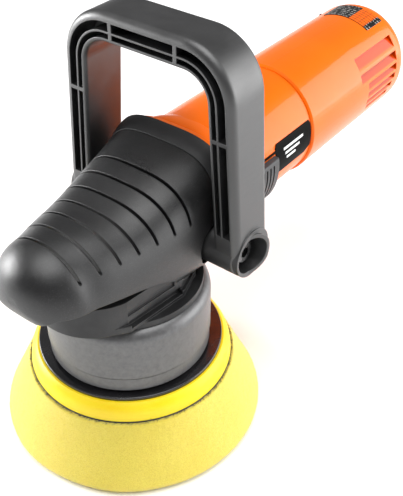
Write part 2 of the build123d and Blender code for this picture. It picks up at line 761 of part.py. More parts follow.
with BuildPart() as motor_housing:
    add(housing_outer.part)
    add(housing_blend.part)
    with Locations(motor_plane.offset(59.0).location):
        Cylinder(barrel_radius, grip_front - 59.0, align=low)
    # spigot that the grip shells close round
    with Locations(motor_plane.offset(grip_front - 1).location):
        Cylinder(barrel_radius - 1.2, 9.0, align=low)
    with Locations(motor_plane.offset(flange_front - 1).location):
        Cylinder(barrel_radius - barrel_wall, grip_front + 20, align=low, mode=Mode.SUBTRACT)
    # walls of the pivot pockets, where they run into the flange
    add(pocket_cups.part)
    add(pivot_pockets, mode=Mode.SUBTRACT)
    for x, z in flange_screw_spots:
        with Locations(Location((x, flange_screw_end, z), (90, 0, 0))):
            Cylinder(screw_radius, 20, align=low, mode=Mode.SUBTRACT)
    add(switch_track.part, mode=Mode.SUBTRACT)
    # slot for the switch's stem
    with Locations((barrel_radius, switch_middle_y - switch_travel / 2, switch_z)):
        Box(12, switch_stem_length + switch_travel + 1.0, switch_stem_height + 1.0, mode=Mode.SUBTRACT)
finish(motor_housing, "motor_housing")

# ================================================================ motor parts that stand still
stator_radius = 31.0
stator_bore = 18.2
window_inner = 19.0
window_outer = 27.0
window_height = 26.0
with BuildPart(motor_plane.offset(core_y)) as stator_core:
    Cylinder(stator_radius, core_length, align=low)
    Cylinder(stator_bore, core_length, align=low, mode=Mode.SUBTRACT)
    with Locations(((window_inner + window_outer) / 2 - 2, 0), (-(window_inner + window_outer) / 2 + 2, 0)):
        Box(window_outer - window_inner + 4, window_height, core_length, align=low, mode=Mode.SUBTRACT)
finish(stator_core, "stator_core")

coil_end = 5.0
coil_width = 5.6
with BuildPart(motor_plane.offset(core_y - coil_end - 0.5)) as field_coils:
    for half in sides:
        for start in (0, core_length + coil_end + 1.0):
            with BuildSketch(motor_plane.offset(core_y - coil_end - 0.5 + start)):
                Circle(window_outer - 0.6)
                Circle(window_inner + 0.6, mode=Mode.SUBTRACT)
                with Locations((0, -half * 1.0)):
                    upright = Align.MIN if half < 0 else Align.MAX
                    Rectangle(80, 60, align=(Align.CENTER, upright), mode=Mode.INTERSECT)
            extrude(amount=coil_end)
        for side in sides:
            with Locations((side * (window_outer - 0.6 - coil_width / 2), half * 6.6, 0)):
                Box(coil_width, 10.0, core_length + 2 * coil_end + 1.0, align=low)
finish(field_coils, "field_coils")

with BuildPart(motor_plane.offset(57.0)) as air_baffle:
    Cylinder(barrel_radius - barrel_wall, 2.4, align=low)
    Cylinder(20.0, 2.4, align=low, mode=Mode.SUBTRACT)
finish(air_baffle, "air_baffle")

with BuildPart() as rear_motor_bearing:
    rear_ring = ball_bearing(4.0 + shaft_clearance, 11.0, rear_bearing_width)
    add(placed(rear_ring, motor_plane.offset(rear_bearing_y)))
finish(rear_motor_bearing, "rear_motor_bearing")

with BuildPart(motor_plane.offset(rear_bearing_y)) as rear_bearing_sleeve:
    Cylinder(13.0, rear_bearing_width, align=low)
    Cylinder(11.0, rear_bearing_width, align=low, mode=Mode.SUBTRACT)
finish(rear_bearing_sleeve, "rear_bearing_sleeve")

carrier_y = 148.0
brush_y = 131.5
brush_tip = 11.3
holder_outer = 27.0
with BuildPart(motor_plane.offset(carrier_y)) as brush_carrier:
    Cylinder(31.0, 4.0, align=low)
    with PolarLocations(32.2, 3, start_angle=90):
        Box(3.6, 10.0, 4.0, align=low)
    Cylinder(15.5, 13.0, align=low)
    with PolarLocations(23.0, 6, start_angle=30):
        Cylinder(5.0, 4.0, align=low, mode=Mode.SUBTRACT)
    for side in sides:
        foot = brush_y - 6.0 - carrier_y
        with Locations((side * 20.0, 6.6, foot), (side * 20.0, -6.6, foot)):
            Box(14.0, 3.0, carrier_y - brush_y + 6.0, align=low)
    with Locations((0, 0, rear_bearing_y - carrier_y)):
        Cylinder(13.0, 20.0, align=low, mode=Mode.SUBTRACT)
    Cylinder(9.0, 20.0, align=low, mode=Mode.SUBTRACT)
finish(brush_carrier, "brush_carrier")

with BuildPart(motor_plane.offset(brush_y)) as brush_holders:
    for side in sides:
        with Locations((side * (12.6 + holder_outer) / 2, 0, 0)):
            Box(holder_outer - 12.6, 10.0, 10.0)
            Box(holder_outer, 8.4, 8.4, mode=Mode.SUBTRACT)
finish(brush_holders, "brush_holders")

brush_length = 9.0
with BuildPart(motor_plane.offset(brush_y)) as carbon_brushes:
    for side in sides:
        with Locations((side * (brush_tip + brush_length / 2), 0, 0)):
            Box(brush_length, 8.2, 8.2)
finish(carbon_brushes, "carbon_brushes")

roll_radius = 2.7
strip_thickness = 0.5
strip_width = 4.0
with BuildPart() as brush_springs:
    for side in sides:
        # rolled strip in two turns, joined by the strip's step from one to the other
        roll_x = side * (brush_tip + brush_length + roll_radius + 0.1)
        with Locations((roll_x, brush_y, motor_z)):
            Cylinder(roll_radius, strip_width)
            Cylinder(roll_radius - strip_thickness, strip_width, mode=Mode.SUBTRACT)
            Cylinder(roll_radius - 2 * strip_thickness, strip_width)
            Cylinder(roll_radius - 3 * strip_thickness, strip_width, mode=Mode.SUBTRACT)
        with Locations((roll_x, brush_y + roll_radius - 1.5 * strip_thickness, motor_z)):
            Box(strip_thickness, 1.6 * strip_thickness, strip_width)
finish(brush_springs, "brush_springs")

# ================================================================ grip shells
grip_wall = 2.6
lip = 1.2


def grip_profile(inset, front):
    """Half outline of the grip, radius against length along the motor's axis."""
    radius = grip_radius - inset
    rear = grip_rear - inset
    start = rear - grip_round
    with BuildSketch(Plane(origin=(0, 0, motor_z), x_dir=(1, 0, 0), z_dir=(0, 0, 1))) as outline:
        with BuildLine():
            Line((0, front), (radius - lip, front))
            Line((radius - lip, front), (radius, front + lip))
            Line((radius, front + lip), (radius, start))
            TangentArc((radius, start), (radius - grip_round - 3.0, rear), tangent=(0, 1))
            Line((radius - grip_round - 3.0, rear), (0, rear))
            Line((0, rear), (0, front))
        make_face()
    return outline.sketch


motor_axis = Axis((0, 0, motor_z), (0, 1, 0))
with BuildPart() as grip_outer:
    add(grip_profile(0.0, grip_front + 0.1))
    revolve(axis=motor_axis)

with BuildPart() as grip_inner:
    add(grip_profile(grip_wall, grip_front - 3.0))
    revolve(axis=motor_axis)

# thicker pads behind the vents, which the slanted slots run through
with BuildPart() as vent_pads:
    with Locations(motor_plane.offset(200).location):
        Cylinder(grip_radius - 1.0, 60.0, align=low)
        Cylinder(grip_radius - 8.0, 60.0, align=low, mode=Mode.SUBTRACT)
    with Locations((0, 230, 149.0)):
        Box(100, 60.0, 36.0, mode=Mode.INTERSECT)

post_spots = ((158.0, 117.5), (158.0, 170.5), (248.0, 117.5), (248.0, 170.5))
vent_top_z = 161.8
vent_cut_x = 37.0
vent_tilt = 40.0
vent_rows = ((204.0, 255.0), (204.0, 255.0), (213.0, 254.5), (213.0, 253.0), (213.0, 250.0), (215.0, 246.0))
dial_y = 265.0
dial_z = 158.0
inlet_z = 127.0
inlet_radius = 9.0
with BuildPart() as grip_body:
    add(grip_outer.part)
    add(grip_inner.part, mode=Mode.SUBTRACT)
    add(vent_pads.part)
    for y, z in post_spots:
        with Locations(Location((0, y, z), (0, 90, 0))):
            Cylinder(4.6, 66.0)
    add(grip_outer.part, mode=Mode.INTERSECT)
    for index, (start, end) in enumerate(vent_rows):
        for side in sides:
            slot = (side * vent_cut_x, (start + end) / 2, vent_top_z - vent_pitch * index)
            with Locations(Location(slot, (0, side * vent_tilt, 0))):
                Box(24.0, end - start, vent_height * 0.8, mode=Mode.SUBTRACT)
    # openings for the speed dial and the cord inlet
    with Locations((0, grip_rear, dial_z)):
        Box(7.4, 30.0, 21.0, mode=Mode.SUBTRACT)
    with Locations(Location((0, grip_rear, inlet_z), (90, 0, 0))):
        Cylinder(inlet_radius, 12.0, mode=Mode.SUBTRACT)
    for y, z in post_spots:
        with Locations(Location((0, y, z), (0, 90, 0))):
            Cylinder(1.9, 46.0, mode=Mode.SUBTRACT)
        with Locations(Location((-22.0, y, z), (0, -90, 0))):
            Cylinder(4.0, 30.0, align=low, mode=Mode.SUBTRACT)

for side, label in ((-1, "grip_shell_right"), (1, "grip_shell_left")):
    with BuildPart() as shell:
        add(grip_body.part)
        with Locations((side * 50, 200, motor_z)):
            Box(100, 200, 200, mode=Mode.INTERSECT)
    finish(shell, label)

with BuildPart() as grip_screws:
    for y, z in post_spots:
        with Locations(Location((-22.0, y, z), (0, 90, 0))):
            Cylinder(1.9, 44.0, align=low)
        with Locations(Location((-22.0, y, z), (0, -90, 0))):
            Cylinder(3.7, 2.6, align=low)
            Cylinder(1.5, 4.0, align=low, mode=Mode.SUBTRACT)
finish(grip_screws, "grip_screws")

# ================================================================ switch, dial and electronics
def rib_groove(y):
    """Groove across the switch's outer face at one y."""
    with BuildPart() as groove:
        with Locations(motor_plane.offset(y - 0.7).location):
            Cylinder(barrel_radius + 8.0, 1.4, align=low)
            Cylinder(barrel_radius + 2.9, 1.4, align=low, mode=Mode.SUBTRACT)
        with Locations((44, y, switch_z)):
            Box(30, 4.0, switch_height - 5.0, mode=Mode.INTERSECT)
    return groove.part


rod_outer_x = 32.5
rib_offsets = [(index - (switch_ribs - 1) / 2) * switch_rib_pitch for index in range(switch_ribs)]
rib_grooves = [rib_groove(switch_middle_y + offset_y) for offset_y in rib_offsets]
with BuildPart() as slide_switch:
    with Locations(motor_plane.offset(switch_middle_y - switch_length / 2).location):
        Cylinder(barrel_radius + 4.0, switch_length, align=low)
        Cylinder(barrel_radius + part_gap, switch_length, align=low, mode=Mode.SUBTRACT)
    with Locations((50, switch_middle_y, switch_z)):
        Box(100, switch_length, switch_height, mode=Mode.INTERSECT)
    outer_edges = slide_switch.edges().filter_by(lambda edge: edge.center().X > barrel_radius + 1.6)
    fillet(outer_edges, 1.0)
    add(rib_grooves, mode=Mode.SUBTRACT)
    with Locations(((rod_outer_x + barrel_radius + 0.6) / 2, switch_middle_y, switch_z)):
        Box(barrel_radius + 0.6 - rod_outer_x, switch_stem_length, switch_stem_height)
finish(slide_switch, "slide_switch")

rod_end_y = 168.0
rod_thickness = 1.0
with BuildPart() as switch_rod:
    with Locations((rod_outer_x - rod_thickness / 2, (switch_middle_y + rod_end_y) / 2, switch_z)):
        Box(rod_thickness, rod_end_y - switch_middle_y + switch_stem_length, 4.0)
    with Locations((rod_outer_x - 9.5, rod_end_y + switch_stem_length / 2 - 1.0, switch_z)):
        Box(19.0, 2.0, 4.0)
finish(switch_rod, "switch_rod")

with BuildPart() as switch_module:
    with Locations((0, 190.5, switch_z + 4)):
        Box(24, 31, 26)
    with Locations((0, 207.0, switch_z + 10), (0, 207.0, switch_z - 2)):
        Box(16, 4, 6)
finish(switch_module, "switch_module")

board_y = 230.0
board_z = 133.0
with BuildPart() as speed_board:
    with Locations((0, board_y, board_z)):
        Box(38, 40, 1.6)
    with Locations((-11, board_y - 8, board_z - 5.8), (11, board_y - 8, board_z - 5.8)):
        Cylinder(4.5, 10.0)
    with Locations((0, board_y + 10, board_z + 3.3)):
        Box(14, 10, 5.0)
finish(speed_board, "speed_board")

fin_count = 5
with BuildPart() as board_heatsink:
    with Locations((0, board_y - 8, board_z + 1.8)):
        Box(26, 16, 2.0)
        with GridLocations(5.5, 1, fin_count, 1):
            Box(1.4, 16, 9.0, align=low)
finish(board_heatsink, "board_heatsink")

dial_radius = 11.5
dial_thickness = 6.4
with BuildPart() as speed_dial:
    with Locations(Location((0, dial_y, dial_z), (0, 90, 0))):
        Cylinder(dial_radius, dial_thickness)
        with PolarLocations(dial_radius + 0.2, 36):
            Cylinder(0.55, dial_thickness, mode=Mode.SUBTRACT)
        Cylinder(2.05, 20, mode=Mode.SUBTRACT)
finish(speed_dial, "speed_dial")

with BuildPart() as dial_pot:
    with Locations(Location((0, dial_y, dial_z), (0, 90, 0))):
        Cylinder(2.0, 16.0)
    with Locations((8.0 + 3.5, dial_y - 2.0, dial_z)):
        Box(7.0, 10.0, 12.0)
finish(dial_pot, "dial_pot")

inlet_bore = 4.0
with BuildPart() as cord_inlet:
    with Locations(Location((0, grip_rear + 3.0, inlet_z), (90, 0, 0))):
        Cylinder(inlet_radius - 0.1, 15.0, align=low)
        Cylinder(inlet_bore, 15.0, align=low, mode=Mode.SUBTRACT)
    with Locations(Location((0, grip_rear - 8.5, inlet_z), (90, 0, 0))):
        Cylinder(inlet_radius + 1.6, 2.5, align=low)
        Cylinder(inlet_bore, 2.5, align=low, mode=Mode.SUBTRACT)
    rear_edges = cord_inlet.edges().filter_by(GeomType.CIRCLE).sort_by(Axis.Y)[-2:]
    fillet(rear_edges, 0.8)
finish(cord_inlet, "cord_inlet")

with BuildPart() as cord_clamp:
    with Locations((0, 254.0, inlet_z)):
        Box(22.0, 7.0, 5.0)
    with Locations(Location((0, 254.0, inlet_z + 4.6), (90, 0, 0))):
        Cylinder(inlet_bore + 0.4, 20.0, mode=Mode.SUBTRACT)
    with Locations((-8.6, 254.0, inlet_z), (8.6, 254.0, inlet_z)):
        Cylinder(1.6, 20.0, mode=Mode.SUBTRACT)
finish(cord_clamp, "cord_clamp")

plate_film = 0.5
plate_outline = (
    (99.6, 136.6), (131.0, 136.9), (137.2, 140.0), (137.8, 154.6), (136.6, 157.0),
    (99.6, 157.0), (97.6, 154.6), (98.2, 153.6), (78.0, 153.6), (78.0, 152.3), (97.6, 152.3), (97.6, 136.6),
)
with BuildPart() as name_plate:
    with Locations(motor_plane.offset(70.0).location):
        Cylinder(barrel_radius + plate_film + 0.02, 75.0, align=low)
        Cylinder(barrel_radius + 0.02, 75.0, align=low, mode=Mode.SUBTRACT)
    with BuildSketch(Plane.YZ.offset(20.0)):
        with BuildLine():
            Polyline(*plate_outline, close=True)
        make_face()
    extrude(amount=30.0, mode=Mode.INTERSECT)
finish(name_plate, "name_plate")

label_film = 0.3
with BuildPart() as top_label:
    with Locations(motor_plane.offset(236.6).location):
        Cylinder(grip_radius + label_film + 0.02, 21.5, align=low)
        Cylinder(grip_radius + 0.02, 21.5, align=low, mode=Mode.SUBTRACT)
    with Locations((2.0, 247.0, motor_z + 40)):
        Box(35.0, 30.0, 50.0, mode=Mode.INTERSECT)
finish(top_label, "top_label")

# ================================================================ bail handle
arm_lean = 0.07
arm_middle_low = 53.6
arm_low_z = 143.0
corner_radius = 31.0
rim_width = 4.6
inner_rim_width = 2.4
rib_width = 1.1
pocket_depth = 18.0
pocket_low_z = 143.0
web_width = 2.2
web_z = 200.0
web_x = 21.0
bolt_recess_radius = 11.2
recess_floor_x = 48.8
boss_end_x = 62.8
boss_slant = 17.0
outer_row_share = 0.62


def arm_x(z, offset):
    """Distance of an arm's line from the middle plane at a height."""
    return arm_middle_low - arm_lean * (z - arm_low_z) + offset


def bail_outline(inset):
    """Front outline of the bail, drawn in from its outer edge by an inset."""
    offset = bail_arm_width / 2 - inset
    top = bail_top - inset
    half_top = arm_x(top, offset)
    half_low = arm_x(bail_pivot_z, offset)
    with BuildSketch(Plane.XZ.offset(-bail_front)) as outline:
        with BuildLine():
            corners = ((-half_low, bail_pivot_z), (-half_top, top), (half_top, top), (half_low, bail_pivot_z))
            Polyline(*corners, close=True)
        make_face()
        fillet(outline.vertices().group_by(Axis.Y)[-1], corner_radius - inset)
    return outline.sketch


def bail_band(outer_inset, inner_inset):
    """U-shaped band between two insets of the bail's outline."""
    with BuildSketch(Plane.XZ.offset(-bail_front)) as band:
        add(bail_outline(outer_inset))
        add(bail_outline(inner_inset), mode=Mode.SUBTRACT)
    return band.sketch


def is_outer(edge):
    """Edges on the bail's outer outline, above its pivot."""
    spot = edge @ 0.5
    if edge.geom_type == GeomType.CIRCLE:
        return edge.radius > corner_radius - 8
    return abs(spot.X) > arm_x(spot.Z, 0) or spot.Z > bail_top - bail_arm_width / 2


pocket_middle = bail_arm_width - inner_rim_width - rim_width - rib_width
rib_start = rim_width + pocket_middle * outer_row_share
outer_row = (rim_width, rib_start)
inner_row = (rib_start + rib_width, bail_arm_width - inner_rim_width)
with BuildPart() as bail_pockets:
    for row in (outer_row, inner_row):
        extrude(bail_band(*row), amount=pocket_depth, dir=(0, 1, 0))
    with Locations((0, bail_front, web_z)):
        Box(200, 100, web_width, mode=Mode.SUBTRACT)
    with Locations((-web_x, bail_front, bail_top), (web_x, bail_front, bail_top)):
        Box(web_width, 100, 60, mode=Mode.SUBTRACT)
    with Locations((0, bail_front, pocket_low_z)):
        Box(200, 100, 60, align=(Align.CENTER, Align.CENTER, Align.MAX), mode=Mode.SUBTRACT)

arm_half_depth = bail_depth / 2
with BuildPart() as boss_ends:
    for side in sides:
        with Locations(Location((0, bail_pivot_y, bail_pivot_z), (0, side * 90, 0))):
            with Locations((0, 0, seat_floor_x + seat_thickness + part_gap)):
                Cylinder(boss_radius, 36.0, align=low)
        # slanted outer end, further out at the rear
        outward = Align.MIN if side > 0 else Align.MAX
        with Locations(Location((side * boss_end_x, bail_pivot_y, bail_pivot_z), (0, 0, -side * boss_slant))):
            Box(40, 80, 80, align=(outward, Align.CENTER, Align.CENTER), mode=Mode.SUBTRACT)

with BuildPart() as bail_handle:
    extrude(bail_band(0.0, bail_arm_width), amount=bail_depth, dir=(0, 1, 0))
    front_edges = bail_handle.faces().sort_by(Axis.Y)[0].outer_wire().edges()
    rear_edges = bail_handle.faces().sort_by(Axis.Y)[-1].outer_wire().edges()
    above_pivot = [edge for edge in front_edges + rear_edges if (edge @ 0.5).Z > bail_pivot_z + 1]
    outer_edges = [edge for edge in above_pivot if is_outer(edge)]
    inner_edges = [edge for edge in above_pivot if not is_outer(edge)]
    fillet(outer_edges, 4.4)
    fillet(inner_edges, 2.2)
    add(bail_pockets.part, mode=Mode.SUBTRACT)
    # round lower ends of the arms, then the bosses that reach in to the head
    for side in sides:
        arm_end = (side * arm_x(bail_pivot_z, 0), bail_front + arm_half_depth, bail_pivot_z)
        with Locations(Location(arm_end, (0, 90, 0))):
            Cylinder(arm_half_depth, bail_arm_width)
    add(boss_ends.part)
    add(pivot_cylinder(bolt_recess_radius, recess_floor_x, 90), mode=Mode.SUBTRACT)
    add(pivot_cylinder(bolt_radius + 0.05, 20, 90), mode=Mode.SUBTRACT)
finish(bail_handle, "bail_handle")

washer_depth = 1.6
head_depth = 8.0
head_start_x = recess_floor_x + part_gap + washer_depth
with BuildPart() as handle_washers:
    add(pivot_cylinder(8.4, recess_floor_x + part_gap, head_start_x))
    add(pivot_cylinder(bolt_radius, recess_floor_x, head_start_x + 1), mode=Mode.SUBTRACT)
finish(handle_washers, "handle_washers")

with BuildPart() as handle_bolts:
    add(pivot_cylinder(bolt_radius, bolt_end_x, head_start_x))
    add(pivot_cylinder(6.5, head_start_x, head_start_x + head_depth))
    for side in sides:
        socket_place = (side * (head_start_x + head_depth), bail_pivot_y, bail_pivot_z)
        with BuildSketch(Plane(origin=socket_place, z_dir=(side, 0, 0))):
            RegularPolygon(3.5, 6)
        extrude(amount=-4.5, mode=Mode.SUBTRACT)
    head_rims = handle_bolts.edges().filter_by(GeomType.CIRCLE).filter_by(lambda edge: edge.radius > 6)
    fillet([edge for edge in head_rims if abs(edge.center().X) > head_start_x + 1], 0.7)
finish(handle_bolts, "handle_bolts")

with BuildPart() as handle_seats:
    add(pivot_cylinder(pocket_radius - 0.8, seat_floor_x, seat_floor_x + seat_thickness))
    add(pivot_cylinder(bolt_radius, seat_floor_x - 1, seat_floor_x + 5), mode=Mode.SUBTRACT)
finish(handle_seats, "handle_seats")

# ================================================================ fasteners of the casings
with BuildPart() as retainer_screws:
    with Locations((0, 0, retainer_z)):
        with PolarLocations(16.5, 3, start_angle=30):
            Cylinder(3.0, 1.4, align=(Align.CENTER, Align.CENTER, Align.MAX))
            Cylinder(1.6, bearing_z - retainer_z, align=low)
finish(retainer_screws, "retainer_screws")
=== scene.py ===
import json
import math

import bpy
from mathutils import Matrix, Vector, noise


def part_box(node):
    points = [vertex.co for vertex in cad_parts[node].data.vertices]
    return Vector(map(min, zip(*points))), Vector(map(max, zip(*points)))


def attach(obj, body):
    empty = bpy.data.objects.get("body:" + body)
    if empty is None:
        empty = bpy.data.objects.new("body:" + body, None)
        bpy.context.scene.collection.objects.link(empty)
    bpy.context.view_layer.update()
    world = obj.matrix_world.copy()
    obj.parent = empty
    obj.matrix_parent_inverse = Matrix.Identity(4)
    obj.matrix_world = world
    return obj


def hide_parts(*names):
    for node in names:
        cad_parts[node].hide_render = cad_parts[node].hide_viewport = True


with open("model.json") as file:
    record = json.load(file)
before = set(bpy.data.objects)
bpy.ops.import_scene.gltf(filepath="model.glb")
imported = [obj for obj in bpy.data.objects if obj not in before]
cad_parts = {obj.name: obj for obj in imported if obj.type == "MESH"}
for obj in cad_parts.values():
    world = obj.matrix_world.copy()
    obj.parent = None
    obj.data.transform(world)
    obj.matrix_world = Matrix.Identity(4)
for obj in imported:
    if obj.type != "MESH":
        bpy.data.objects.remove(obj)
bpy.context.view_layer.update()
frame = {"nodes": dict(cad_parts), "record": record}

scene = bpy.context.scene
nodes = frame["nodes"]
joints = {joint["name"]: joint for joint in frame["record"]["behaviour"]["joints"]}
MOTOR_HEIGHT = joints["armature_turn"]["pos_m"][2]

# ---------------------------------------------------------------- camera
AZIMUTH, ELEVATION, ROLL = map(math.radians, (36.95, 38.99, 0.43))
CAMERA_PLACE = (0.2458, -0.2543, 0.4087)
SENSOR_WIDTH = 36
LENS = 57.95
CLIP_START, CLIP_END = 0.01, 20

back = Vector((
    math.sin(AZIMUTH) * math.cos(ELEVATION),
    -math.cos(AZIMUTH) * math.cos(ELEVATION),
    math.sin(ELEVATION),
))
level = Vector((math.cos(AZIMUTH), math.sin(AZIMUTH), 0))
upright = back.cross(level)
right = level * math.cos(ROLL) + upright * math.sin(ROLL)
up = upright * math.cos(ROLL) - level * math.sin(ROLL)

camera = bpy.data.objects.new("camera", bpy.data.cameras.new("camera"))
scene.collection.objects.link(camera)
camera.data.sensor_width = SENSOR_WIDTH
camera.data.lens = LENS
camera.data.clip_start, camera.data.clip_end = CLIP_START, CLIP_END
axes = Matrix((right, up, back)).transposed().to_4x4()
camera.matrix_world = Matrix.Translation(CAMERA_PLACE) @ axes
scene.camera = camera
scene.view_settings.view_transform = "Standard"
scene.view_settings.look = "None"

# ---------------------------------------------------------------- node helpers
BEVEL_SAMPLES = 6
# the Mix node's colour sockets
MIX_FIRST, MIX_SECOND, MIX_RESULT = 6, 7, 2


class Shader:
    """A material whose nodes read the object's own coordinates, which are the frame's, in metres."""

    def __init__(self, name):
        self.material = bpy.data.materials.new(name)
        self.material.use_nodes = True
        self.tree = self.material.node_tree
        self.tree.nodes.clear()
        self.surface = self.tree.nodes.new("ShaderNodeBsdfPrincipled")
        output = self.tree.nodes.new("ShaderNodeOutputMaterial")
        self.tree.links.new(self.surface.outputs["BSDF"], output.inputs["Surface"])
        self.place = self.tree.nodes.new("ShaderNodeTexCoord").outputs["Object"]

    def link(self, source, target):
        self.tree.links.new(source, target)

    def stretched(self, x, y, z):
        """The place, scaled along each axis, for a grain that runs one way."""
        mapping = self.tree.nodes.new("ShaderNodeMapping")
        mapping.inputs["Scale"].default_value = (x, y, z)
        self.link(self.place, mapping.inputs["Vector"])
        return mapping.outputs["Vector"]

    def noise(self, scale, detail=3.0, roughness=0.55, place=None):
        """Cloudy value from 0 to 1, with this many clouds to the metre."""
        node = self.tree.nodes.new("ShaderNodeTexNoise")
        node.inputs["Scale"].default_value = scale
        node.inputs["Detail"].default_value = detail
        node.inputs["Roughness"].default_value = roughness
        self.link(place or self.place, node.inputs["Vector"])
        return node.outputs["Fac"]

    def cells(self, scale, feature="F1"):
        """Distance to the nearest cell's centre, or to its edge."""
        node = self.tree.nodes.new("ShaderNodeTexVoronoi")
        node.feature = feature
        node.inputs["Scale"].default_value = scale
        self.link(self.place, node.inputs["Vector"])
        return node.outputs["Distance"]

    def span(self, source, low, high, new_low=0.0, new_high=1.0):
        """The value, with low to high brought to new_low to new_high and held there."""
        node = self.tree.nodes.new("ShaderNodeMapRange")
        sockets = ("From Min", "From Max", "To Min", "To Max")
        for socket, value in zip(sockets, (low, high, new_low, new_high)):
            node.inputs[socket].default_value = value
        self.link(source, node.inputs["Value"])
        return node.outputs["Result"]

    def math(self, operation, first, second):
        """Either value may be a number or a socket."""
        node = self.tree.nodes.new("ShaderNodeMath")
        node.operation = operation
        for socket, value in zip(node.inputs, (first, second)):
            if isinstance(value, (int, float)):
                socket.default_value = value
            else:
                self.link(value, socket)
        return node.outputs[0]

    def blend(self, factor, first, second):
        """Colour from first to second as factor goes from 0 to 1. Either may be a colour or a socket."""
        node = self.tree.nodes.new("ShaderNodeMix")
        node.data_type = "RGBA"
        self.link(factor, node.inputs["Factor"])
        for socket, value in ((node.inputs[MIX_FIRST], first), (node.inputs[MIX_SECOND], second)):
            if isinstance(value, tuple):
                socket.default_value = (*value, 1)
            else:
                self.link(value, socket)
        return node.outputs[MIX_RESULT]

    def axis(self, index):
        """The place along one axis, in metres."""
        node = self.tree.nodes.new("ShaderNodeSeparateXYZ")
        self.link(self.place, node.inputs[0])
        return node.outputs[index]

    def bumps(self, *layers, edge=0.0):
        """Each layer is (height socket, depth in metres, strength), the coarsest first.

        Edges look rounded to the radius edge, in metres.
        """
        normal = None
        if edge:
            bevel = self.tree.nodes.new("ShaderNodeBevel")
            bevel.samples = BEVEL_SAMPLES
            bevel.inputs["Radius"].default_value = edge
            normal = bevel.outputs["Normal"]
        for height, depth, strength in layers:
            node = self.tree.nodes.new("ShaderNodeBump")
            node.inputs["Distance"].default_value = depth
            node.inputs["Strength"].default_value = strength
            self.link(height, node.inputs["Height"])
            if normal:
                self.link(normal, node.inputs["Normal"])
            normal = node.outputs["Normal"]
        self.link(normal, self.surface.inputs["Normal"])

    def colour(self, source):
        self.link(source, self.surface.inputs["Base Color"])

    def roughness(self, source):
        self.link(source, self.surface.inputs["Roughness"])

    def set(self, **values):
        """Constants on the shader's own sockets, named with _ for each space."""
        for key, value in values.items():
            self.surface.inputs[key.replace("_", " ")].default_value = value
        return self


# ---------------------------------------------------------------- materials, one for each slot
def plastic(name, colour, worn, rough=(0.4, 0.5), grain=2500, depth=0.00006, edge=0.0, **values):
    """Moulded plastic: broad patches of tone, a fine moulded grain, and faint rubbed streaks."""
    s = Shader(name)
    patches = s.span(s.noise(45, 4), 0.35, 0.7)
    fine = s.noise(grain, 2, 0.7)
    tone = s.math("MULTIPLY", patches, s.span(fine, 0.3, 0.7, 0.55, 1.0))
    s.colour(s.blend(tone, colour, worn))
    streaks = s.noise(60, 6, 0.7, s.stretched(14, 1.2, 9))
    s.roughness(s.span(s.math("ADD", patches, streaks), 0.3, 1.6, *rough))
    s.bumps((s.noise(180, 2), 0.0002, 0.06), (fine, depth, 0.5), edge=edge)
    return s.set(**values).material


def metal(name, colour, worn, rough=(0.25, 0.4), stretch=(1, 1, 1), grain=900, depth=0.00003):
    """Bare or plated metal with tool marks along the stretched axes and a little staining."""
    s = Shader(name)
    stains = s.span(s.noise(70, 5, 0.6), 0.4, 0.75)
    marks = s.noise(grain, 4, 0.65, s.stretched(*stretch))
    s.colour(s.blend(stains, colour, worn))
    s.roughness(s.span(s.math("ADD", stains, marks), 0.3, 1.6, *rough))
    s.bumps((marks, depth, 0.6))
    return s.set(Metallic=1.0).material


def laminated(name, axis, pitch, colour, worn):
    """Stacked sheet steel or wound wire: fine ridges along one axis over a stained metal."""
    s = Shader(name)
    wave = s.math("SINE", s.math("MULTIPLY", s.axis(axis), math.tau / pitch), 0.0)
    stains = s.span(s.noise(140, 4), 0.35, 0.7)
    s.colour(s.blend(s.math("MULTIPLY", stains, s.span(wave, -1, 1)), colour, worn))
    s.roughness(s.span(s.math("ADD", stains, wave), -1, 2, 0.3, 0.5))
    s.bumps((wave, pitch * 0.25, 0.6))
    return s.set(Metallic=1.0).material


def foam_material():
    """Open-cell foam: pits of two sizes, lighter cell walls, broad soft tone."""
    s = Shader("foam")
    coarse = s.cells(2100)
    fine = s.cells(5000)
    pits = s.math("ADD", s.math("MULTIPLY", coarse, 0.6), s.math("MULTIPLY", fine, 0.4))
    broad = s.span(s.noise(35, 4), 0.35, 0.7)
    wall = s.blend(broad, (0.93, 0.79, 0.11), (0.88, 0.72, 0.075))
    s.colour(s.blend(s.span(pits, 0.25, 0.85), wall, (0.66, 0.50, 0.04)))
    s.roughness(s.span(pits, 0.2, 0.8, 0.85, 1.0))
    s.bumps((s.noise(160, 3), 0.0006, 0.25), (pits, 0.00045, 0.7))
    s.set(Sheen_Weight=0.35, Sheen_Roughness=0.6)
    return s.set(Subsurface_Weight=0.12, Subsurface_Scale=0.004).material


def cover_material():
    """Black nylon with the fine sparkle of its glass fill."""
    s = Shader("cover")
    fine = s.noise(2600, 2, 0.75)
    flakes = s.span(s.cells(2300), 0.02, 0.24, 1.0, 0.0)
    patches = s.span(s.noise(30, 4), 0.3, 0.7)
    base = s.blend(patches, (0.006, 0.006, 0.0065), (0.011, 0.011, 0.0115))
    sparkle = s.math("MULTIPLY", flakes, s.span(fine, 0.3, 0.6))
    s.colour(s.blend(sparkle, base, (0.22, 0.22, 0.225)))
    s.roughness(s.span(s.math("ADD", fine, patches), 0.4, 1.5, 0.26, 0.38))
    s.bumps((s.noise(380, 3), 0.00025, 0.12), (fine, 0.00018, 0.6), edge=0.0006)
    return s.set(Specular_IOR_Level=0.7, IOR=1.5).material


